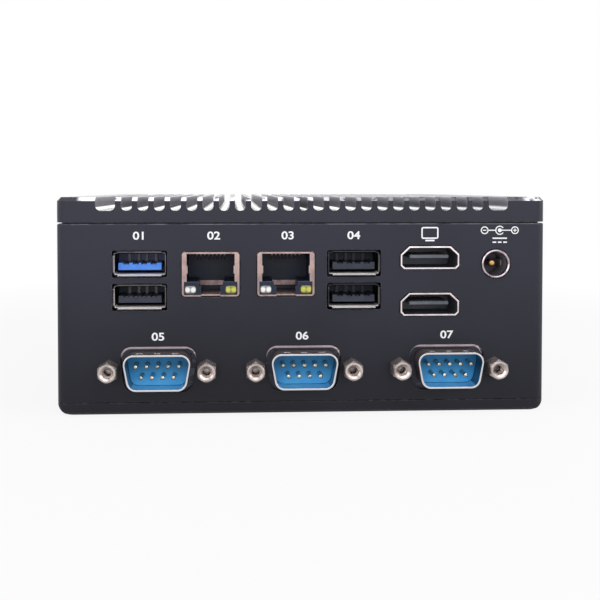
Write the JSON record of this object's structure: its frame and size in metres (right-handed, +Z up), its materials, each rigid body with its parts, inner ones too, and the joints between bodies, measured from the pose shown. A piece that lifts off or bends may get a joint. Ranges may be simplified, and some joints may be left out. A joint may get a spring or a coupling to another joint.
{
  "type": "box computer",
  "caption": "Fanless box computer: dark metal case under a finned heatsink lid, with data, network, video, power and serial ports on one panel.",
  "frame": {"origin": "centre of the bounding box's bottom, on the underside of the bottom cover", "axes": "+Z up through the fins, -Y out of the pictured connector panel, +X to the right when that panel is seen from outside"},
  "size_m": [0.127, 0.144, 0.056],
  "materials": {
    "black_anodised": "black anodised, fine matt grain",
    "screw_steel": "plain machined steel",
    "plated_steel": "bright plated sheet steel",
    "nickel_brass": "nickel plated turned brass",
    "gold_plate": "thin gold plate",
    "bright_blue_plastic": "moulded, satin",
    "blue_plastic": "moulded, satin",
    "black_plastic": "moulded, matt",
    "clear_plastic": "clear to milky lens",
    "yellow_plastic": "yellow-green lens",
    "circuit_board": "green coated laminate",
    "soft_pad": "soft filled pad",
    "ferrite": "pressed grey ferrite",
    "ribbon_grey": "ribbed grey insulation",
    "silver_anodised": "silver anodised"
  },
  "bodies": {
    "case": {"board_screws": "screw_steel", "bottom_cover": "black_anodised", "bracket_nuts": "screw_steel", "button_board": "circuit_board", "button_switch": "black_plastic", "clock_battery": "plated_steel", "controller_chips": "black_plastic", "data_contacts": "gold_plate", "front_jackscrews": "nickel_brass", "front_serial_insulator_1": "blue_plastic", "front_serial_insulator_2": "blue_plastic", "front_serial_insulator_3": "blue_plastic", "front_serial_pins": "gold_plate", "front_serial_shell_1": "plated_steel", "front_serial_shell_2": "plated_steel", "front_serial_shell_3": "plated_steel", "heatsink_lid": "black_anodised", "housing": "black_anodised", "left_data_lower_tongue": "black_plastic", "left_data_shell": "plated_steel", "left_data_upper_tongue": "bright_blue_plastic", "left_network_insert": "black_plastic", "left_network_shield": "plated_steel", "lower_video_tongue": "black_plastic", "mainboard": "circuit_board", "memory_module": "circuit_board", "memory_socket": "black_plastic", "network_clear_lenses": "clear_plastic", "network_contacts": "gold_plate", "network_ground_bars": "plated_steel", "network_yellow_lenses": "yellow_plastic", "power_inductors": "ferrite", "power_jack_body": "black_plastic", "power_jack_pin": "gold_plate", "power_jack_sleeve": "plated_steel", "power_jack_spring": "plated_steel", "power_lamp": "clear_plastic", "processor": "black_plastic", "rear_jackscrews": "nickel_brass", "rear_serial_insulator_1": "blue_plastic", "rear_serial_insulator_2": "blue_plastic", "rear_serial_insulator_3": "blue_plastic", "rear_serial_pins": "gold_plate", "rear_serial_shell_1": "plated_steel", "rear_serial_shell_2": "plated_steel", "rear_serial_shell_3": "plated_steel", "right_data_shell": "plated_steel", "right_data_tongues": "black_plastic", "right_network_insert": "black_plastic", "right_network_shield": "plated_steel", "serial_headers": "black_plastic", "serial_ribbons": "ribbon_grey", "storage_card": "circuit_board", "storage_socket": "black_plastic", "thermal_pad": "soft_pad", "tie_screws": "screw_steel", "upper_video_tongue": "black_plastic", "video_contacts": "gold_plate", "video_shell": "plated_steel"},
    "button": {"power_button": "silver_anodised"}
  },
  "joints": [
    {"name": "power_button_press", "type": "slide", "parent": "case", "child": "button", "axis": [0, -1, 0], "range_m": [0, 0.0008], "stiffness_N_per_m": 800}
  ]
}
